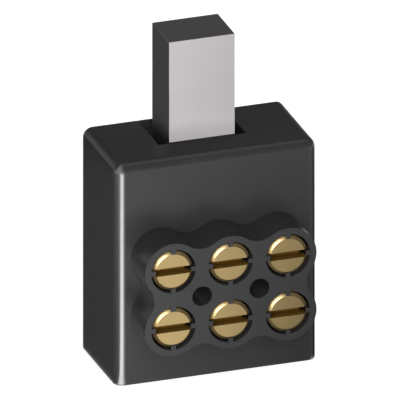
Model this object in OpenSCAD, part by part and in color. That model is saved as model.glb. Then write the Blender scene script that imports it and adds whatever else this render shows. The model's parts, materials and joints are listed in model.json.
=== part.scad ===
// Insulated terminal block: a contact bar on top, three wire entries below, six clamp screws in front.
// Lengths are in millimetres. The front faces -Y, +X is to the right and +Z is up.
// The modules measure y from the front face of the housing, and placed() then centres the block.

/* [Housing] */
// Width of the housing
body_w = 30.4; // [30:0.1:36]
// Depth of the housing without its boss
body_d = 14.6; // [14:0.1:18]
// Height of the housing
body_h = 34.3; // [32:0.1:44]
// Thickness of the front, side and bottom walls
wall = 1.5; // [1.3:0.1:1.8]
// Thickness of the top wall
top_wall = 1.8; // [1.5:0.1:2.5]
// Radius of the rounded front and top edges
edge_r = 1.4; // [0.6:0.1:2]
// Thickness of the two ribs that hold the clamp block down
rib_t = 1.2; // [0.8:0.1:2]

/* [Screw boss] */
// Height of the boss in front of the housing
boss_h = 6.2; // [4:0.1:8]
// Distance between the screw columns
column_pitch = 8.65; // [8.3:0.05:9]
// Distance between the screw rows
row_pitch = 8.9; // [8.6:0.1:10]
// Height of the lower screw row above the base
lower_row_z = 10.7; // [8:0.05:11]
// Wall round each screw bore
tower_wall = 0.95; // [0.8:0.05:1.1]
// Radius of the hollow fillets between the towers
scallop_r = 3.3; // [2:0.1:5]
// Diameter of the two test probe holes
probe_d = 3; // [1.5:0.1:3.4]

/* [Clamp screws] */
// Diameter of the screws
screw_d = 6; // [5:0.1:6.2]
// Radial room round a screw in its bore in the boss
bore_clear = 0.35; // [0.25:0.05:0.4]
// Radial room round a screw in the clamp block
thread_clear = 0.05; // [0.02:0.01:0.1]
// Depth of a backed-out screw below the front of the boss
screw_recess = 0.15; // [0.1:0.05:0.6]
// Chamfer round the screw's slotted end
head_chamfer = 0.45; // [0.3:0.05:0.7]
// Chamfer round the screw's tip
tip_chamfer = 1; // [0.5:0.1:1.5]
// Width of the screwdriver slot
driver_slot_w = 1.15; // [0.8:0.05:1.5]
// Depth of the screwdriver slot
driver_slot_depth = 1.8; // [1.2:0.1:2.5]
// Room between a backed-out screw's tip and the wire tunnel
tip_clear = 0.15; // [0.05:0.05:0.5]

/* [Captive tabs] */
// Width of the tabs that keep the screws in
tab_w = 0.7; // [0.5:0.05:1.2]
// Thickness of a tab at its inner end
tab_tip = 0.15; // [0.1:0.01:0.3]
// Room between a tab and the screw's chamfer
tab_clear = 0.08; // [0.05:0.01:0.15]

/* [Contact bar] */
// Width of the contact bar
bar_w = 9.9; // [8:0.1:11]
// Place of the bar and its slot beside the middle of the housing
bar_x = -0.35; // [-1:0.05:1]
// Thickness of the contact bar
bar_t = 7.5; // [6:0.1:8]
// Length of the bar above the housing
bar_out = 15.7; // [10:0.1:25]
// Metal between the upper screws and the foot of the bar
foot_gap = 0.85; // [0.5:0.05:1.2]
// Room for the solder round the foot of the bar
solder_gap = 0.03; // [0.02:0.01:0.05]

/* [Clamp block] */
// Height of the clamp block
block_h = 24.5; // [23.5:0.1:26]
// Diameter of the wire tunnels
tunnel_d = 6; // [5:0.1:6.2]
// Metal behind the wire tunnels
tunnel_back = 0.9; // [0.7:0.1:1.5]
// Room round the block at the sides and below the ribs
block_clear = 0.1; // [0.05:0.05:0.2]

/* [Slot for the bar] */
// Width of the slot in the top wall
bar_slot_w = 13.2; // [12:0.1:15]
// Room in front of the bar
bar_slot_clear = 0.1; // [0.05:0.05:0.5]

/* [Wire entries] */
// How much wider an entry is than the tunnel behind it, all round
entry_clear = 0.3; // [0.1:0.05:0.4]
// Width of the funnel round an entry
funnel_w = 0.6; // [0.3:0.1:0.8]
// Depth of the funnel
funnel_depth = 0.8; // [0.4:0.1:1]

/* [Rear cover] */
// Thickness of the cover
cover_t = 1.6; // [1.3:0.1:2.2]
// How far the cover laps onto the walls
cover_lap = 0.7; // [0.5:0.1:0.8]
// Room round the edge of the cover
cover_clear = 0.1; // [0.05:0.05:0.15]
// Thickness of the tongue that closes the slot behind the bar
tongue_t = 0.5; // [0.4:0.1:0.8]
// Radius of the snap beads on the cover's edges
bead_r = 0.5; // [0.4:0.05:0.6]
// How far the beads stand out of the edge
bead_out = 0.3; // [0.2:0.05:0.35]
// Length of a snap bead
bead_len = 5; // [3:0.1:8]
// Distance of the beads from the cover's lower and upper edge
bead_inset = 4; // [2:0.1:6]
// Room round a bead in its groove
bead_clear = 0.08; // [0.05:0.01:0.12]

/* [Hidden] */
$fn = 96;
// Overlap that welds a rib or tab to its wall, and overshoot of a cut past a face
weld = 0.2;
over = 1;

// The screws, row by row from below and from left to right
screw_names = [
    for (row = ["lower", "upper"], column = ["left", "middle", "right"]) str("clamp_screw_", row, "_", column)
];

// Screw columns in x, screw rows in z, and the place [x, z] of each screw in the order of their names
column_x = [for (column = [-1, 0, 1]) column * column_pitch];
row_z = [lower_row_z, lower_row_z + row_pitch];
screw_places = [for (z = row_z, x = column_x) [x, z]];

screw_r = screw_d / 2;
bore_r = screw_r + bore_clear;
tower_r = bore_r + tower_wall;
screw_front = screw_recess - boss_h;

cavity_w = body_w - 2 * wall;
cavity_top = body_h - top_wall;
cover_y = body_d - cover_t;

block_w = cavity_w - 2 * block_clear;
block_top = wall + block_h;
bar_y = cover_y - bar_t;
bar_foot = row_z[1] + screw_r + thread_clear + foot_gap;
bar_top = body_h + bar_out;
tunnel_r = tunnel_d / 2;
tunnel_y = cover_y - tunnel_back - tunnel_r;
entry_r = tunnel_r + entry_clear;
screw_len = tunnel_y - tunnel_r - tip_clear - screw_front;

rebate_w = cavity_w + 2 * cover_lap;
rebate_z = [wall - cover_lap, cavity_top + cover_lap];
cover_w = rebate_w - 2 * cover_clear;
cover_z = [rebate_z[0] + cover_clear, rebate_z[1] - cover_clear];
bead_z = [cover_z[0] + bead_inset, cover_z[1] - bead_inset - bead_len];

// Centres the block's outline on the origin, boss included
module placed() {
    translate([0, (boss_h - body_d) / 2, 0]) children();
}

// Turns a shape drawn in x and z, and raised along +Z, so that it runs back along +Y
module run_back(y) {
    translate([0, y, 0]) rotate([90, 0, 0]) mirror([0, 0, 1]) children();
}

// What a fillet of radius edge_r takes off a square edge; the square corner lies at +x, +y
module edge_waste(length) {
    linear_extrude(length)
        difference() {
            square(edge_r + over);
            circle(edge_r);
        }
}

// What the round corner takes off where three such edges meet
module corner_waste() {
    difference() {
        cube(edge_r + over);
        sphere(edge_r);
    }
}

// Outer form of the case: round at the front and top, square at the base and back
module case_form() {
    round_x = body_w / 2 - edge_r;
    round_z = body_h - edge_r;
    difference() {
        translate([-body_w / 2, 0, 0]) cube([body_w, body_d, body_h]);
        for (side = [0, 1]) mirror([side, 0, 0]) {
            translate([round_x, edge_r, -over]) mirror([0, 1, 0]) edge_waste(round_z + over);
            translate([round_x, edge_r, round_z]) mirror([0, 1, 0]) corner_waste();
            translate([0, 0, round_z]) run_back(edge_r) translate([round_x, 0, 0])
                edge_waste(body_d - edge_r + over);
        }
        translate([-round_x, edge_r, round_z]) rotate([90, 0, 90]) mirror([1, 0, 0])
            edge_waste(2 * round_x);
    }
}

// Wedge between two neighbouring towers, hollowed by a fillet that is tangent to both
module scallop(a, b) {
    along = b - a;
    half = norm(along) / 2;
    out = [along[1], -along[0]] / norm(along);
    fillet = (a + b) / 2 + out * sqrt(pow(tower_r + scallop_r, 2) - half * half);
    difference() {
        polygon([a, fillet, b]);
        translate(fillet) circle(scallop_r);
    }
}

// Outline of the boss, in x and z: a tower round each screw, scallops between neighbours
module boss_outline() {
    // The screws in order round the outside of the boss, anticlockwise seen from the front
    ring = [for (i = [0, 1, 2, 5, 4, 3]) screw_places[i]];
    for (place = ring) translate(place) circle(tower_r);
    for (i = [0 : len(ring) - 1]) scallop(ring[i], ring[(i + 1) % len(ring)]);
    polygon(ring);
}

// A bore that runs back through the boss and the front wall
module front_bore(place, r) {
    run_back(-boss_h - over) translate(place) cylinder(h = boss_h + wall + 2 * over, r = r);
}

// Four wedge-shaped tabs over the chamfer of a screw
module captive_tabs(place) {
    // Where the underside of a tab, parallel to the chamfer, would meet the front of the boss
    lip_r = screw_r - head_chamfer + tab_clear * sqrt(2) - screw_recess;
    inner_r = lip_r + tab_tip;
    outer_r = bore_r + weld;
    run_back(-boss_h) translate(place)
        intersection() {
            rotate_extrude()
                polygon([[inner_r, 0], [outer_r, 0], [outer_r, outer_r - lip_r], [inner_r, tab_tip]]);
            for (turn = [0, 90])
                rotate(turn) translate([-outer_r, -tab_w / 2, 0]) cube([2 * outer_r, tab_w, 2 * outer_r]);
        }
}

// Round entry in the bottom wall, with a funnel that leads the wire in
module wire_entry(x) {
    translate([x, tunnel_y, 0]) {
        translate([0, 0, -over]) cylinder(h = wall + 2 * over, r = entry_r);
        cylinder(h = funnel_depth, r1 = entry_r + funnel_w, r2 = entry_r);
    }
}

// Half-round snap beads on the left and right edge of the cover, or their grooves
module beads(edge_x, r, length) {
    y = (cover_y + body_d) / 2;
    for (side = [-1, 1], z = bead_z)
        translate([side * (edge_x + bead_out - bead_r), y, z + (bead_len - length) / 2])
            cylinder(h = length, r = r);
}

// Room inside the case for the clamp block, open at the back
module cavity() {
    translate([-cavity_w / 2, wall, wall]) cube([cavity_w, body_d, cavity_top - wall]);
    translate([-rebate_w / 2, cover_y, rebate_z[0]]) cube([rebate_w, body_d, rebate_z[1] - rebate_z[0]]);
    beads(cover_w / 2, bead_r + bead_clear, bead_len + 2 * bead_clear);
}

// Ribs that reach down from the top wall to the clamp block
module hold_down_ribs() {
    foot_z = block_top + block_clear;
    rib_x = (bar_slot_w + cavity_w) / 4;
    for (side = [-1, 1])
        translate([side * rib_x - rib_t / 2, wall - weld, foot_z])
            cube([rib_t, cover_y - wall + weld, cavity_top - foot_z + weld]);
}

module housing() {
    color("#2b2b2c") {
        difference() {
            union() {
                case_form();
                run_back(-boss_h) linear_extrude(boss_h + wall) boss_outline();
            }
            cavity();
            translate([bar_x - bar_slot_w / 2, bar_y - bar_slot_clear, cavity_top - over])
                cube([bar_slot_w, body_d, top_wall + 2 * over]);
            for (place = screw_places) front_bore(place, bore_r);
            for (side = [-1, 1])
                front_bore([side * column_pitch / 2, (row_z[0] + row_z[1]) / 2], probe_d / 2);
            for (x = column_x) wire_entry(x);
        }
        hold_down_ribs();
        for (place = screw_places) captive_tabs(place);
    }
}

module rear_cover() {
    tongue_w = bar_slot_w - 2 * cover_clear;
    color("#232324") {
        translate([-cover_w / 2, cover_y, cover_z[0]]) cube([cover_w, cover_t, cover_z[1] - cover_z[0]]);
        translate([bar_x - tongue_w / 2, body_d - tongue_t, cover_z[1] - weld])
            cube([tongue_w, tongue_t, body_h - cover_z[1] + weld]);
        beads(cover_w / 2, bead_r, bead_len);
    }
}

// A slice of an extruded profile with three wire tunnels, notched for the bar and drilled for the screws
module clamp_block() {
    notch_w = bar_w + 2 * solder_gap;
    color("#bdb9ba")
    difference() {
        translate([-block_w / 2, wall, wall]) cube([block_w, cover_y - wall, block_h]);
        for (x = column_x)
            translate([x, tunnel_y, wall - over]) cylinder(h = block_h + 2 * over, r = tunnel_r);
        translate([bar_x - notch_w / 2, bar_y - solder_gap, bar_foot]) cube([notch_w, body_d, block_h]);
        for (place = screw_places)
            run_back(wall - over) translate(place)
                cylinder(h = tunnel_y - wall + over, r = screw_r + thread_clear);
    }
}

// Flat bar that is soldered into the notch and closes the middle tunnel with its foot
module contact_bar() {
    color("#bdb9ba")
    translate([bar_x - bar_w / 2, bar_y, bar_foot]) cube([bar_w, bar_t, bar_top - bar_foot]);
}

// Slotted set screw, backed out against its tabs
module clamp_screw(place) {
    color("#c2a468")
    run_back(screw_front) translate(place)
        difference() {
            rotate_extrude()
                polygon([
                    [0, 0], [screw_r - head_chamfer, 0], [screw_r, head_chamfer],
                    [screw_r, screw_len - tip_chamfer], [screw_r - tip_chamfer, screw_len], [0, screw_len]
                ]);
            translate([-screw_d, -driver_slot_w / 2, -over])
                cube([2 * screw_d, driver_slot_w, driver_slot_depth + over]);
        }
}

placed() housing();
placed() rear_cover();
placed() clamp_block();
placed() contact_bar();
for (i = [0 : len(screw_places) - 1])
    placed() clamp_screw(screw_places[i]);
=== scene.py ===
# %% [markdown]
# # Finishing a terminal block in Blender
#
# The object is an insulated terminal block. A black moulded housing holds a metal clamp block with three
# wire tunnels, a flat contact bar stands out of its top, and six slotted brass screws in a scalloped boss
# clamp the wires. The solids come from CAD at their real size. This lesson gives them their surfaces, adds
# what was too fine for the solids, and lights the result like a catalogue picture.
#
# All sizes are in metres, because the model is, so each size below is written in millimetres times MM.

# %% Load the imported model
import json
import math

import bmesh
import bpy
from mathutils import Matrix, Vector

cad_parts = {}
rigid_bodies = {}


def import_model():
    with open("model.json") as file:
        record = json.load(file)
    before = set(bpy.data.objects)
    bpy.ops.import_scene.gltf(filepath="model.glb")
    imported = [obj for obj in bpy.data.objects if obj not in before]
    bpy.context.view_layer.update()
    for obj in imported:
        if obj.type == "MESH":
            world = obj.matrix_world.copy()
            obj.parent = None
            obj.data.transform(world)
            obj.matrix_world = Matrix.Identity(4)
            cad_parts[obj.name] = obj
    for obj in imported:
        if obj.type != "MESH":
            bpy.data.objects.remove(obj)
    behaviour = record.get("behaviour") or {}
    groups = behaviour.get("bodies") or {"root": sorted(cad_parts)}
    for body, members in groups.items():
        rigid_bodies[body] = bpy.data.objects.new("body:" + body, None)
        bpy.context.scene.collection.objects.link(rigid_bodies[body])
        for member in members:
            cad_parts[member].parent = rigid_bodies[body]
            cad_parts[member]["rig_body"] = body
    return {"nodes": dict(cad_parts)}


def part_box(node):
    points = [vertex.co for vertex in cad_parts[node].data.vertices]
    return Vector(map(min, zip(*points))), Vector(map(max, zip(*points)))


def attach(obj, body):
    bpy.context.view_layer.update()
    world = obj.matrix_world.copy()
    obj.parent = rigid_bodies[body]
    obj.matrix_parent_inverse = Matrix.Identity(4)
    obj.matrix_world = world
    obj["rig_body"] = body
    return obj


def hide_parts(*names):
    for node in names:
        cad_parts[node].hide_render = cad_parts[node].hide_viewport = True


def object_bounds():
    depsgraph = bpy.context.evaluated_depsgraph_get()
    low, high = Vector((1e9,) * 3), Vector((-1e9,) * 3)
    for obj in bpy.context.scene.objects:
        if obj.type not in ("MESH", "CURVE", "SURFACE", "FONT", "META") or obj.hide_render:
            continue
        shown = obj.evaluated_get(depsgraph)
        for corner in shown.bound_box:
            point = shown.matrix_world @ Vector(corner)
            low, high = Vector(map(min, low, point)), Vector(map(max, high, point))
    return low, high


MM = 0.001

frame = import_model()
nodes = frame["nodes"]
cad_low, cad_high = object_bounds()
print("CAD box in mm:", [round(side / MM, 2) for side in cad_high - cad_low])

# %% [markdown]
# ## Three small helpers
#
# A colour picked from a screen is an sRGB value, while the shaders work with linear light, so one function
# turns the first into the second. The next one adds a node: it sets the node's own properties, then fills
# each input with a constant or links it to another node's output. The last one starts a material.


# %% Colours, nodes and materials
def linear(hex_colour):
    """Linear red, green, blue and alpha of an sRGB hex value."""
    shares = [int(hex_colour[i:i + 2], 16) / 255 for i in (1, 3, 5)]
    return [s / 12.92 if s <= 0.04045 else ((s + 0.055) / 1.055) ** 2.4 for s in shares] + [1.0]


def add_node(tree, kind, settings=None, inputs=None):
    """A new node with its properties set and its inputs filled or linked."""
    node = tree.nodes.new(kind)
    for name, value in (settings or {}).items():
        setattr(node, name, value)
    for name, value in (inputs or {}).items():
        if isinstance(value, bpy.types.NodeSocket):
            tree.links.new(value, node.inputs[name])
        else:
            node.inputs[name].default_value = value
    return node


def new_material(name):
    """A material, its node tree, its Principled shader and the coordinates of the object."""
    material = bpy.data.materials.new(name)
    material.use_nodes = True
    tree = material.node_tree
    shader = tree.nodes["Principled BSDF"]
    return material, tree, shader, add_node(tree, "ShaderNodeTexCoord").outputs["Object"]


print("the middle grey of a screen in linear light:", round(linear("#808080")[0], 4))

# %% [markdown]
# ## Moulded black plastic
#
# The housing and its rear cover are injection moulded from a black, glass-filled polyamide. The steel mould
# is spark eroded, which leaves a fine even grain, so the plastic looks satin and not glossy. The grain could
# be modelled, but it is only a few hundredths of a millimetre deep, so a noise drives a bump instead.
#
# The real grain is about 0.05 mm wide, less than half a pixel here, so it is drawn five times as coarse to
# show. A slower noise, a few millimetres wide, changes the tone and the gloss a little, as the flow in the
# mould does.
#
# The upright rounded edges shine more than the faces, as plastic does where it is rubbed smooth. They are
# found by their normals: on such an edge the X and the Y share both differ from zero, while on the large
# faces one of them is zero. So the product of the two is the weight of a thin glossy coat. The normal is
# taken in the world, because the housing stays put.

# %% Moulded plastic
GRAIN = 0.25 * MM
GRAIN_DEPTH = 0.012 * MM
GRAIN_BUMP = 0.35
FLOW = 7 * MM
PLASTIC_IOR = 1.5
PLASTIC_ROUGHNESS = (0.28, 0.32)
PLASTIC_GLOSS = 0.4
EDGE_POLISH_IOR = 2.0
EDGE_POLISH_ROUGHNESS = 0.3
# Product of a normal's X and Y shares where the polish starts and where it is full
EDGE_POLISH_RANGE = (0.05, 0.3)
HOUSING_TONES = ("#373738", "#3d3d3e")
COVER_TONES = ("#343435", "#39393a")


def moulded_plastic(name, tones):
    """Satin black polyamide between two close tones, polished on upright rounded edges."""
    material, tree, shader, place = new_material(name)
    flow = add_node(
        tree, "ShaderNodeTexNoise", inputs={"Vector": place, "Scale": 1 / FLOW, "Detail": 2},
    )
    grain = add_node(
        tree, "ShaderNodeTexNoise", inputs={"Vector": place, "Scale": 1 / GRAIN, "Detail": 1},
    )
    tone = add_node(
        tree, "ShaderNodeMix", {"data_type": "RGBA"},
        {"Factor": flow.outputs["Fac"], 6: linear(tones[0]), 7: linear(tones[1])},
    )
    gloss = add_node(
        tree, "ShaderNodeMapRange",
        inputs={
            "Value": flow.outputs["Fac"],
            "To Min": PLASTIC_ROUGHNESS[0], "To Max": PLASTIC_ROUGHNESS[1],
        },
    )
    bump = add_node(
        tree, "ShaderNodeBump",
        inputs={"Strength": GRAIN_BUMP, "Distance": GRAIN_DEPTH, "Height": grain.outputs["Fac"]},
    )
    normal = add_node(tree, "ShaderNodeNewGeometry").outputs["Normal"]
    shares = add_node(tree, "ShaderNodeSeparateXYZ", inputs={"Vector": normal})
    product = add_node(
        tree, "ShaderNodeMath", {"operation": "MULTIPLY"},
        {0: shares.outputs["X"], 1: shares.outputs["Y"]},
    )
    rounded = add_node(
        tree, "ShaderNodeMath", {"operation": "ABSOLUTE"}, {0: product.outputs["Value"]},
    )
    polish = add_node(
        tree, "ShaderNodeMapRange",
        inputs={
            "Value": rounded.outputs["Value"],
            "From Min": EDGE_POLISH_RANGE[0], "From Max": EDGE_POLISH_RANGE[1],
        },
    )
    tree.links.new(polish.outputs["Result"], shader.inputs["Coat Weight"])
    shader.inputs["Coat IOR"].default_value = EDGE_POLISH_IOR
    shader.inputs["Coat Roughness"].default_value = EDGE_POLISH_ROUGHNESS
    tree.links.new(tone.outputs[2], shader.inputs["Base Color"])
    tree.links.new(gloss.outputs["Result"], shader.inputs["Roughness"])
    tree.links.new(bump.outputs["Normal"], shader.inputs["Normal"])
    shader.inputs["IOR"].default_value = PLASTIC_IOR
    shader.inputs["Specular IOR Level"].default_value = PLASTIC_GLOSS
    return material


housing_plastic = moulded_plastic("black_polyamide_housing", HOUSING_TONES)
cover_plastic = moulded_plastic("black_polyamide_cover", COVER_TONES)
nodes["housing"].material_slots[0].material = housing_plastic
nodes["rear_cover"].material_slots[0].material = cover_plastic
print("moulded pieces: housing, rear_cover")

# %% [markdown]
# ## Tinned metal
#
# The clamp block and the contact bar are copper alloy with a coat of tin. The bar is drawn through a die
# before it is plated, so faint marks run along its length and stretch the reflections in it. Tin is grey
# with a slightly warm tint. The marks could be an anisotropic shader, but a noise that is stretched along Z
# also shows them as fine lines, so it drives both the bump and the roughness.

# %% Tinned metal
DRAWN_MARK_WIDTH = 0.16 * MM
DRAWN_MARK_LENGTH = 14 * MM
DRAWN_MARK_DEPTH = 0.002 * MM
DRAWN_MARK_BUMP = 0.1
TIN_ROUGHNESS = (0.28, 0.33)
TIN_TONE = "#dfdadc"


def tinned_metal(name, hex_colour):
    """Tin-plated metal with drawn marks along Z."""
    material, tree, shader, place = new_material(name)
    marks_per_metre = (1 / DRAWN_MARK_WIDTH, 1 / DRAWN_MARK_WIDTH, 1 / DRAWN_MARK_LENGTH)
    stretched = add_node(
        tree, "ShaderNodeMapping", inputs={"Vector": place, "Scale": marks_per_metre},
    )
    marks = add_node(
        tree, "ShaderNodeTexNoise",
        inputs={"Vector": stretched.outputs["Vector"], "Scale": 1.0, "Detail": 2},
    )
    gloss = add_node(
        tree, "ShaderNodeMapRange",
        inputs={"Value": marks.outputs["Fac"], "To Min": TIN_ROUGHNESS[0], "To Max": TIN_ROUGHNESS[1]},
    )
    bump = add_node(
        tree, "ShaderNodeBump",
        inputs={
            "Strength": DRAWN_MARK_BUMP, "Distance": DRAWN_MARK_DEPTH, "Height": marks.outputs["Fac"],
        },
    )
    shader.inputs["Base Color"].default_value = linear(hex_colour)
    shader.inputs["Metallic"].default_value = 1.0
    tree.links.new(gloss.outputs["Result"], shader.inputs["Roughness"])
    tree.links.new(bump.outputs["Normal"], shader.inputs["Normal"])
    return material


tin = tinned_metal("tin_plated_metal", TIN_TONE)
nodes["clamp_block"].material_slots[0].material = tin
print("tinned piece: clamp_block")

# %% [markdown]
# ## The contact bar
#
# The bar is sawn off a drawn length and deburred, so its edges are broken by a few hundredths of a
# millimetre. That is less than a pixel, so it only softens the lines where two faces meet. A cube is scaled
# to the box of the CAD bar, and all its edges are bevelled. The new piece replaces the sharp CAD bar and
# stays inside its box.

# %% The contact bar
EDGE_BREAK = 0.03 * MM
EDGE_BREAK_SEGMENTS = 2
SHARP_ANGLE = math.radians(32)
# A face is flat, and not part of a curve, if its normal lies along an axis
FLAT = 0.99999


def whole(bm):
    """All vertices, edges and faces of a bmesh, which is what most operators take."""
    return bm.verts[:] + bm.edges[:] + bm.faces[:]


def finish_piece(name, mesh, material, node):
    """Shades a mesh smooth between its sharp edges, and lets it stand for a CAD node as an object."""
    mesh.materials.clear()
    mesh.materials.append(material)
    mesh.set_sharp_from_angle(angle=SHARP_ANGLE)
    for polygon in mesh.polygons:
        polygon.use_smooth = max(abs(share) for share in polygon.normal) < FLAT
    piece = bpy.data.objects.new(name, mesh)
    bpy.context.scene.collection.objects.link(piece)
    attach(piece, nodes[node]["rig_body"])
    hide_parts(node)
    return piece


bar_low, bar_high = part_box("contact_bar")
bm = bmesh.new()
bmesh.ops.create_cube(bm, size=1.0)
bmesh.ops.scale(bm, vec=bar_high - bar_low, verts=bm.verts)
bmesh.ops.translate(bm, vec=(bar_low + bar_high) / 2, verts=bm.verts)
bmesh.ops.bevel(
    bm, geom=bm.edges[:], offset=EDGE_BREAK, offset_type="OFFSET", affect="EDGES",
    segments=EDGE_BREAK_SEGMENTS, profile=0.5, material=-1,
)
bar_mesh = bpy.data.meshes.new("deburred_contact_bar")
bm.to_mesh(bar_mesh)
bm.free()
finish_piece("deburred_contact_bar", bar_mesh, tin, "contact_bar")
print("contact bar faces:", len(bar_mesh.polygons))

# %% [markdown]
# ## The clamp screw's thread
#
# Each clamp screw is a slotted set screw of 6 mm, turned from brass rod, and its thread climbs 1 mm each
# turn. The section of a thread is a row of teeth, so the teeth are drawn once as a line and spun for one
# full turn while they climb one pitch. The end of that turn lies on the start of the next tooth, and merging
# the doubles closes the helix. The screw stands along Z for now, with its face at zero, and is cut off
# straight at both ends.

# %% The clamp screw's thread
PITCH = 1.0 * MM
THREAD_DEPTH = 0.61 * MM
# Corners of one tooth, as shares of the pitch and of the thread's depth
TOOTH = ((0.0, 1), (0.25, 1), (0.5625, 0), (0.6875, 0))
# Teeth beyond the screw's length, half of them above its face
SPARE_TEETH = 4
TURNED_STEPS = 96
TINY = 0.001 * MM

screw_low, screw_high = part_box("clamp_screw_lower_left")
screw_radius = (screw_high.x - screw_low.x) / 2
screw_length = screw_high.y - screw_low.y
teeth = math.ceil(screw_length / PITCH) + SPARE_TEETH

screw = bmesh.new()
corners = [
    screw.verts.new((
        screw_radius - deep * THREAD_DEPTH, 0, (tooth + along - teeth + SPARE_TEETH // 2) * PITCH,
    ))
    for tooth in range(teeth)
    for along, deep in TOOTH
]
for lower, upper in zip(corners, corners[1:]):
    screw.edges.new((lower, upper))
bmesh.ops.spin(
    screw, geom=screw.verts[:] + screw.edges[:], cent=(0, 0, 0), axis=(0, 0, 1),
    dvec=(0, 0, PITCH / TURNED_STEPS), angle=2 * math.pi, steps=TURNED_STEPS, use_merge=False,
)
bmesh.ops.remove_doubles(screw, verts=screw.verts[:], dist=TINY)
for level, outwards in ((0, 1), (-screw_length, -1)):
    bmesh.ops.bisect_plane(
        screw, geom=whole(screw), dist=TINY,
        plane_co=(0, 0, level), plane_no=(0, 0, outwards), clear_outer=True,
    )
print("thread:", teeth, "teeth,", len(screw.faces), "faces")

# %% [markdown]
# ## The screw's ends
#
# The lathe chamfers both ends, and the thread stops short of the face, so the tabs of the housing bear on a
# full ring. Both are limits on how far the surface lies from the axis: the chamfers limit it from outside,
# and the plain land behind the face from inside. Rings are cut where these limits change, and each vertex is
# then moved in or out to meet them.

# %% The screw's ends
HEAD_CHAMFER = 0.45 * MM
TIP_CHAMFER = 1.0 * MM
HEAD_LAND = 0.9 * MM
RING_CUTS = 4


def outer_limit(z):
    """Largest radius that the chamfers leave at a height below the face."""
    return screw_radius - max(0, HEAD_CHAMFER + z, TIP_CHAMFER - screw_length - z)


def inner_limit(z):
    """Smallest radius at a height: the land behind the face, which slopes down to the thread's root."""
    return screw_radius - max(0, -HEAD_LAND - z)


levels = [-HEAD_CHAMFER * (step + 1) / RING_CUTS for step in range(RING_CUTS)]
levels += [-HEAD_LAND - THREAD_DEPTH * step / RING_CUTS for step in range(RING_CUTS + 1)]
levels += [TIP_CHAMFER * (step + 1) / RING_CUTS - screw_length for step in range(RING_CUTS)]
for level in levels:
    bmesh.ops.bisect_plane(
        screw, geom=whole(screw), dist=TINY, plane_co=(0, 0, level), plane_no=(0, 0, 1),
    )
for vert in screw.verts:
    wanted = min(max(vert.co.xy.length, inner_limit(vert.co.z)), outer_limit(vert.co.z))
    vert.co.xy *= wanted / vert.co.xy.length
print("ring cuts:", len(levels), "faces:", len(screw.faces))

# %% [markdown]
# ## The driver slot
#
# A saw cuts the slot straight across the face. Two upright cuts and one level cut part the surface along the
# slot, and what lies between them is deleted. That leaves an open rim, so an edge is drawn across at each
# corner of the slot, and every flat loop of edges is filled: two lands, two walls, the slot's floor and the
# tip.

# %% The driver slot
SLOT_WIDTH = 1.15 * MM
SLOT_DEPTH = 1.8 * MM
# Places of two axes in a vector
Y, Z = 1, 2


def open_edges_at(axis, level):
    """The edges with fewer than two faces that lie in the plane at a level along an axis."""
    return [
        edge for edge in screw.edges
        if len(edge.link_faces) < 2 and all(abs(vert.co[axis] - level) < TINY for vert in edge.verts)
    ]


for axis, level in ((Y, SLOT_WIDTH / 2), (Y, -SLOT_WIDTH / 2), (Z, -SLOT_DEPTH)):
    plane = [0, 0, 0]
    plane[axis] = 1
    near = [face for face in screw.faces if face.calc_center_median().z > -SLOT_DEPTH - PITCH]
    near += list({edge for face in near for edge in face.edges})
    bmesh.ops.bisect_plane(
        screw, geom=near, dist=TINY, plane_co=level * Vector(plane), plane_no=plane,
    )
sawn = [
    face for face in screw.faces
    if abs(face.calc_center_median().y) < SLOT_WIDTH / 2 and face.calc_center_median().z > -SLOT_DEPTH
]
bmesh.ops.delete(screw, geom=sawn, context="FACES")
for side in (-1, 1):
    wall = open_edges_at(Y, side * SLOT_WIDTH / 2)
    for level in (0, -SLOT_DEPTH):
        ends = {vert for edge in wall for vert in edge.verts if abs(vert.co.z - level) < TINY}
        screw.edges.new(ends)
for side in (-1, 1):
    bmesh.ops.edgeloop_fill(screw, edges=open_edges_at(Y, side * SLOT_WIDTH / 2))
bmesh.ops.edgeloop_fill(screw, edges=open_edges_at(Z, -SLOT_DEPTH))
bmesh.ops.edgeloop_fill(screw, edges=open_edges_at(Z, 0))
bmesh.ops.edgeloop_fill(screw, edges=open_edges_at(Z, -screw_length))
bmesh.ops.recalc_face_normals(screw, faces=screw.faces[:])
screw_mesh = bpy.data.meshes.new("clamp_screw")
screw.to_mesh(screw_mesh)
print("screw closed:", all(edge.is_manifold for edge in screw.edges))
print("screw volume in mm3:", round(screw.calc_volume() / MM**3, 1), "faces:", len(screw.faces))
screw.free()

# %% [markdown]
# ## Turned brass
#
# Brass is a metal with a warm yellow reflection. The lathe tool leaves fine rings round the axis of each
# screw, which is why a turned face shows a soft fan of light. A ring wave, centred on the screw by a Mapping
# node, gives these rings. Each screw needs its own centre, so a function makes its materials. The real rings
# are about 0.05 mm apart and are drawn at 0.2 mm, so that they show.
#
# Each screw has three finishes. The face and the thread are bright. The chamfer is turned with a steeper
# tool, so it is rougher, and a little tarnish makes it less than fully metallic. The slot is sawn, so it is
# the roughest, and its darker, browner tone is painted shade for the recess.

# %% Turned brass
RING_SPACING = 0.2 * MM
RING_DEPTH = 0.0015 * MM
RING_BUMP = 0.5
RING_WOBBLE = 0.4
# The wave texture has one ring for each tenth of pi along its coordinate
RING_SCALE = math.pi / 10 / RING_SPACING
TARNISH = 1.5 * MM
TURNED_TONES = ("#bfa672", "#c9b07e")
# The slot's tones are darker than the turned ones: painted shade for the recess, not a colour of the brass
SLOT_PAINTED_SHADE_TONES = ("#927536", "#9c7d3e")
FACE_ROUGHNESS = (0.29, 0.34)
CHAMFER_ROUGHNESS = (0.36, 0.40)
SAWN_ROUGHNESS = (0.50, 0.56)
CHAMFER_METALLIC = 0.82
CHAMFER_SLOT, SAWN_SHADED_SLOT = 1, 2
# A face is part of the chamfer if its normal's Y share lies between these
SLANTED = (0.1, 0.9)
FACE_FORWARD = Matrix.Rotation(math.radians(90), 4, "X")


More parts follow.
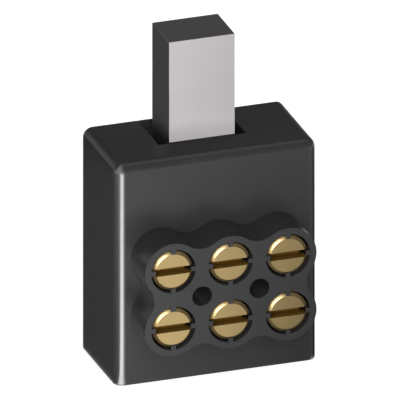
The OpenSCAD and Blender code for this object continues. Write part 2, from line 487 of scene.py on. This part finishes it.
def turned_brass(name, centre, tones, roughness, metallic=1.0):
    """Turned brass with rings round an axis along Y through the centre."""
    material, tree, shader, place = new_material(name)
    centred = add_node(
        tree, "ShaderNodeMapping", {"vector_type": "TEXTURE"}, {"Vector": place, "Location": centre},
    )
    rings = add_node(
        tree, "ShaderNodeTexWave", {"wave_type": "RINGS", "rings_direction": "Y"},
        {
            "Vector": centred.outputs["Vector"], "Scale": RING_SCALE,
            "Distortion": RING_WOBBLE, "Detail": 1,
        },
    )
    tarnish = add_node(
        tree, "ShaderNodeTexNoise",
        inputs={"Vector": centred.outputs["Vector"], "Scale": 1 / TARNISH, "Detail": 3},
    )
    tone = add_node(
        tree, "ShaderNodeMix", {"data_type": "RGBA"},
        {"Factor": tarnish.outputs["Fac"], 6: linear(tones[0]), 7: linear(tones[1])},
    )
    gloss = add_node(
        tree, "ShaderNodeMapRange",
        inputs={"Value": tarnish.outputs["Fac"], "To Min": roughness[0], "To Max": roughness[1]},
    )
    bump = add_node(
        tree, "ShaderNodeBump",
        inputs={"Strength": RING_BUMP, "Distance": RING_DEPTH, "Height": rings.outputs["Fac"]},
    )
    shader.inputs["Metallic"].default_value = metallic
    tree.links.new(tone.outputs[2], shader.inputs["Base Color"])
    tree.links.new(gloss.outputs["Result"], shader.inputs["Roughness"])
    tree.links.new(bump.outputs["Normal"], shader.inputs["Normal"])
    return material


for node in sorted(name for name in nodes if name.startswith("clamp_screw_")):
    low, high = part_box(node)
    face_centre = Vector(((low.x + high.x) / 2, low.y, (low.z + high.z) / 2))
    mesh = screw_mesh.copy()
    mesh.transform(Matrix.Translation(face_centre) @ FACE_FORWARD)
    threaded = node.replace("clamp", "threaded")
    brass_name = threaded.replace("threaded_screw", "turned_brass")
    face = turned_brass(brass_name, face_centre, TURNED_TONES, FACE_ROUGHNESS)
    chamfer = turned_brass(
        brass_name + "_chamfer", face_centre, TURNED_TONES, CHAMFER_ROUGHNESS, CHAMFER_METALLIC,
    )
    # The slot's material carries the painted shade of its recess
    sawn_slot_with_painted_shade = turned_brass(brass_name + "_slot", face_centre, SLOT_PAINTED_SHADE_TONES, SAWN_ROUGHNESS)
    finish_piece(threaded, mesh, face, node)
    mesh.materials.append(chamfer)
    mesh.materials.append(sawn_slot_with_painted_shade)
    for polygon in mesh.polygons:
        depth = polygon.center.y - low.y
        beside = abs(polygon.center.z - face_centre.z)
        slanted = SLANTED[0] < abs(polygon.normal.y) < SLANTED[1]
        if slanted and depth < HEAD_CHAMFER:
            polygon.material_index = CHAMFER_SLOT
        # Faces inside the slot take the material with the painted shade
        elif TINY < depth < SLOT_DEPTH + TINY and beside < SLOT_WIDTH / 2 + TINY:
            polygon.material_index = SAWN_SHADED_SLOT
    print(threaded, "faces", len(mesh.polygons))

# %% [markdown]
# ## Floor and world
#
# A catalogue picture stands on a white sweep. The floor is white card. To rays from the camera and to
# mirrored ones it gives light of its own, which lifts it to white without putting more light on the block,
# and the light that falls on it keeps the shadow. The world is white to the same rays and only a weak fill
# otherwise. Seen from below the floor is clear, so the underside can be looked at too.

# %% Floor and world
WHITE = "#ffffff"
BLACK = "#000000"
FLOOR_SIZE = 4.0
FLOOR_DROP = 0.02 * MM
FLOOR_TONE = "#dcdcdc"
FLOOR_ROUGHNESS = 0.9
FLOOR_LIFT = 0.78
WORLD_FILL = 0.2


def seen_directly(tree):
    """One for rays from the camera and for mirrored or refracted ones, otherwise zero."""
    path = add_node(tree, "ShaderNodeLightPath")
    seen = path.outputs["Is Camera Ray"]
    for ray in ("Is Glossy Ray", "Is Transmission Ray"):
        seen = add_node(
            tree, "ShaderNodeMath", {"operation": "MAXIMUM"}, {0: seen, 1: path.outputs[ray]},
        ).outputs["Value"]
    return seen


def stage_piece(name, bm):
    """Makes a bmesh a mesh object of its own, which isn't attached to the block."""
    mesh = bpy.data.meshes.new(name)
    bm.to_mesh(mesh)
    bm.free()
    piece = bpy.data.objects.new(name, mesh)
    bpy.context.scene.collection.objects.link(piece)
    return piece


def clear_from_below(tree, shader):
    """Lets rays that come from behind a card pass through it."""
    clear = add_node(tree, "ShaderNodeBsdfTransparent")
    behind = add_node(tree, "ShaderNodeNewGeometry").outputs["Backfacing"]
    one_sided = add_node(
        tree, "ShaderNodeMixShader",
        inputs={0: behind, 1: shader.outputs["BSDF"], 2: clear.outputs["BSDF"]},
    )
    tree.links.new(one_sided.outputs["Shader"], tree.nodes["Material Output"].inputs["Surface"])


white_card, tree, shader, _ = new_material("white_floor_card")
shader.inputs["Base Color"].default_value = linear(FLOOR_TONE)
shader.inputs["Roughness"].default_value = FLOOR_ROUGHNESS
shader.inputs["Specular IOR Level"].default_value = 0.0
shader.inputs["Emission Color"].default_value = linear(WHITE)
lift = add_node(
    tree, "ShaderNodeMath", {"operation": "MULTIPLY"}, {0: seen_directly(tree), 1: FLOOR_LIFT},
)
tree.links.new(lift.outputs["Value"], shader.inputs["Emission Strength"])
clear_from_below(tree, shader)
bm = bmesh.new()
bmesh.ops.create_grid(bm, x_segments=1, y_segments=1, size=FLOOR_SIZE / 2)
bmesh.ops.translate(bm, vec=(0, 0, -FLOOR_DROP), verts=bm.verts)
stage_piece("floor", bm).data.materials.append(white_card)

world = bpy.data.worlds.new("white_studio")
bpy.context.scene.world = world
world.use_nodes = True
tree = world.node_tree
fill = tree.nodes["Background"]
fill.inputs["Color"].default_value = linear(WHITE)
fill.inputs["Strength"].default_value = WORLD_FILL
white = add_node(tree, "ShaderNodeBackground", inputs={"Color": linear(WHITE), "Strength": 1.0})
studio = add_node(
    tree, "ShaderNodeMixShader",
    inputs={0: seen_directly(tree), 1: fill.outputs["Background"], 2: white.outputs["Background"]},
)
tree.links.new(studio.outputs["Shader"], tree.nodes["World Output"].inputs["Surface"])
print("floor", FLOOR_SIZE, "m wide, world fill", WORLD_FILL)

# %% [markdown]
# ## Softboxes
#
# Three square softboxes stand round the block. The front and the rear one are for the matt colours, so they
# are left out of reflections. The third is there only to be mirrored: it stands in front, to the left and
# above, where the upper left of each screw's chamfer looks, so that a bright arc runs round every screw. The
# strength of an area lamp is a power, so it is worked out from how bright its cloth should look.

# %% Softboxes
SOFTBOX_DISTANCE = 400 * MM
SOFTBOX_SIDE = 300 * MM
MATT_BRIGHTNESS = 3.9
CHAMFER_BRIGHTNESS = 11

block_middle = (cad_low + cad_high) / 2


def softbox(name, direction, brightness):
    """A square area lamp in a direction from the block, turned towards it."""
    lamp = bpy.data.lights.new(name, "AREA")
    lamp.shape = "SQUARE"
    lamp.size = SOFTBOX_SIDE
    lamp.energy = brightness * math.pi * SOFTBOX_SIDE**2
    box = bpy.data.objects.new(name, lamp)
    box.location = block_middle + SOFTBOX_DISTANCE * Vector(direction).normalized()
    box.rotation_mode = "QUATERNION"
    box.rotation_quaternion = (block_middle - box.location).to_track_quat("-Z", "Y")
    box.visible_camera = False
    bpy.context.scene.collection.objects.link(box)
    print(name, round(lamp.energy, 3), "W")
    return box


front_softbox = softbox("front_softbox", (-0.20, -0.92, 0.36), MATT_BRIGHTNESS)
front_softbox.visible_glossy = False
rear_softbox = softbox("rear_softbox", (0.45, 0.85, 0.12), MATT_BRIGHTNESS)
rear_softbox.visible_glossy = False
chamfer_softbox = softbox("chamfer_softbox", (-0.50, -0.70, 0.50), CHAMFER_BRIGHTNESS)
chamfer_softbox.visible_diffuse = False

# %% [markdown]
# ## What the block mirrors
#
# Shiny things show what stands round them, so a photographer shapes them with cards. A dark curtain hangs
# round the block, open to the front left, and a paler card behind the block shows in the rounded upper left
# edge. Dark flags lie on the floor where the left side, the bar's left side and the right edges would mirror
# white. A light strip on the floor draws the bright line along the rounded front left edge. A pale card just
# above the housing stands where the foot of the bar would mirror the dark top.
#
# All of them show only in reflections: the camera doesn't see them, they cast no shadow and light nothing
# matt. The level ones face up and are clear from below.

# %% Curtain, flags and strip
CURTAIN_STEPS = 32
BAR_FOOT_GAP = 0.05 * MM


def reflected_only(piece, tone):
    """Gives a stage piece an even tone and hides it from everything but reflections."""
    material, tree, shader, place = new_material(piece.name)
    shader.inputs["Base Color"].default_value = linear(BLACK)
    shader.inputs["Specular IOR Level"].default_value = 0.0
    shader.inputs["Emission Color"].default_value = linear(WHITE)
    shader.inputs["Emission Strength"].default_value = tone
    piece.data.materials.append(material)
    piece.visible_camera = False
    piece.visible_diffuse = False
    piece.visible_shadow = False
    piece.visible_transmission = False
    return tree, shader, place


def floor_card(name, corners, tone, level=0.0):
    """A level card that faces up, from its corners in millimetres, counter-clockwise."""
    bm = bmesh.new()
    bm.faces.new([bm.verts.new((x * MM, y * MM, level)) for x, y in corners])
    tree, shader, place = reflected_only(stage_piece(name, bm), tone)
    clear_from_below(tree, shader)
    return tree, shader, place


def curtain(name, start, arc, radius, height, tone):
    """An upright card that is bent round the block, from a start angle over an arc in degrees."""
    bm = bmesh.new()
    foot = radius * Vector((math.cos(math.radians(start)), math.sin(math.radians(start)), 0))
    ends = [bm.verts.new(foot), bm.verts.new(foot + Vector((0, 0, height)))]
    seam = bm.edges.new(ends)
    bmesh.ops.spin(
        bm, geom=[*ends, seam], cent=(0, 0, 0), axis=(0, 0, 1),
        angle=math.radians(arc), steps=CURTAIN_STEPS, use_merge=False,
    )
    reflected_only(stage_piece(name, bm), tone)


curtain("dark_curtain", 250, 290, 600 * MM, 1500 * MM, 0.062)
curtain("rear_card", 96, 34, 500 * MM, 200 * MM, 0.55)
floor_card("left_floor_flag", [(-150, -25), (-15.4, -4.2), (-15.4, 76), (-150, 76)], 0.125)
floor_card("rear_floor_flag", [(-150, 76), (-15.4, 76), (-2, 40), (-2, 260), (-150, 260)], 0.02)
floor_card("right_floor_flag", [(15.3, -4.4), (130, -30), (130, 90), (15.6, 11)], 0.01)
floor_card("edge_light_strip", [(-15.5, -4), (-98, -104), (-14, -134), (-13.6, -4.6)], 5.8)
bar_foot_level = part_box("housing")[1].z + BAR_FOOT_GAP
floor_card("bar_foot_card", [(-11, -4), (12, -4), (12, 1.2), (-11, 1.2)], 0.62, bar_foot_level)
print("curtain, card, flags and strip in place, bar foot card at", round(bar_foot_level / MM, 2), "mm")

# %% [markdown]
# ## Which pieces a light reaches
#
# The strip is meant for the plastic edge and would glare in the metal, and the chamfer softbox is meant for
# the screws alone. Light linking gives a light a collection of pieces. Those in it receive the light, unless
# they are marked as left out: then the light reaches everything else. So the strip's collection holds the
# metal pieces, all left out, and the softbox's collection holds the screws.

# %% Light linking
screws = bpy.data.collections.new("screws_alone")
metal = bpy.data.collections.new("all_but_metal")
for piece in bpy.context.scene.collection.objects:
    if piece.name.startswith("threaded_screw"):
        screws.objects.link(piece)
    if piece.name.startswith(("threaded_screw", "deburred")):
        metal.objects.link(piece)
for entry in metal.collection_objects:
    entry.light_linking.link_state = "EXCLUDE"
bpy.data.objects["edge_light_strip"].light_linking.receiver_collection = metal
chamfer_softbox.light_linking.receiver_collection = screws

# %% [markdown]
# ## Graded cards
#
# The front of the housing, the screws and the bar all mirror the floor in front of the block, and they
# darken from left to right. Cards with an even grade do that: a near one for most of the housing and for the
# screws, and a far one for what stands higher, because it mirrors the floor further away. A third card lies
# left of the light strip. It covers the white floor that the shoulder of the rounded edge would mirror, and
# it brightens away from the block. A dot product measures how far a point lies along the grade.

# %% Graded cards
# All the floor points that one upright line on the front mirrors have the same product with this direction
ACROSS_FRONT = (1.0, 0.343, 0.0)
AWAY_TO_THE_LEFT = (-0.707, -0.707, 0.0)


def graded_card(name, corners, direction, start, end):
    """A floor card whose tone changes evenly along a direction, between two places and tones."""
    tree, shader, place = floor_card(name, corners, start[1])
    along = add_node(
        tree, "ShaderNodeVectorMath", {"operation": "DOT_PRODUCT"}, {0: place, 1: direction},
    )
    tone = add_node(
        tree, "ShaderNodeMapRange",
        inputs={
            "Value": along.outputs["Value"], "From Min": start[0] * MM, "From Max": end[0] * MM,
            "To Min": start[1], "To Max": end[1],
        },
    )
    tree.links.new(tone.outputs["Result"], shader.inputs["Emission Strength"])
    print(name, "from", start[1], "to", end[1])


graded_card(
    "near_card", [(-17, -4.5), (3, -64), (600, -64), (600, -4.5)],
    ACROSS_FRONT, (-12, 1.0), (12, 0.10),
)
graded_card(
    "left_card", [(-133, -146), (-15.5, -4.1), (-150, -25), (-190, -146)],
    AWAY_TO_THE_LEFT, (30, 0.125), (110, 0.7),
)
graded_card(
    "far_card", [(3, -64), (185, -600), (600, -600), (600, -64)],
    ACROSS_FRONT, (-6, 0.93), (5, 0.64),
)

# %% [markdown]
# ## Camera
#
# The picture has no perspective: edges that are parallel on the block stay parallel, so the camera is
# orthographic. It stands a little to the left and looks down. The picture is 400 pixels wide and shows the
# block at 7 pixels to the millimetre, which gives the width of the view.

# %% Camera
CAMERA_AZIMUTH = math.radians(-18.93)
CAMERA_ELEVATION = math.radians(23.68)
CAMERA_DISTANCE = 0.4
CLIP_START = 0.01
CLIP_END = 10
PICTURE_PIXELS = 400
PIXELS_PER_MM = 7
PICTURE_MIDDLE = Vector((-1.09, 0, 25.38)) * MM

towards_camera = Vector((
    math.sin(CAMERA_AZIMUTH) * math.cos(CAMERA_ELEVATION),
    -math.cos(CAMERA_AZIMUTH) * math.cos(CAMERA_ELEVATION),
    math.sin(CAMERA_ELEVATION),
))
lens = bpy.data.cameras.new("camera")
lens.type = "ORTHO"
lens.ortho_scale = PICTURE_PIXELS / PIXELS_PER_MM * MM
lens.clip_start = CLIP_START
lens.clip_end = CLIP_END
camera = bpy.data.objects.new("camera", lens)
camera.location = PICTURE_MIDDLE + CAMERA_DISTANCE * towards_camera
camera.rotation_mode = "QUATERNION"
camera.rotation_quaternion = (-towards_camera).to_track_quat("-Z", "Y")
bpy.context.scene.collection.objects.link(camera)
bpy.context.scene.camera = camera
bpy.context.scene.view_settings.view_transform = "Standard"
print("view width in mm:", round(lens.ortho_scale / MM, 2))
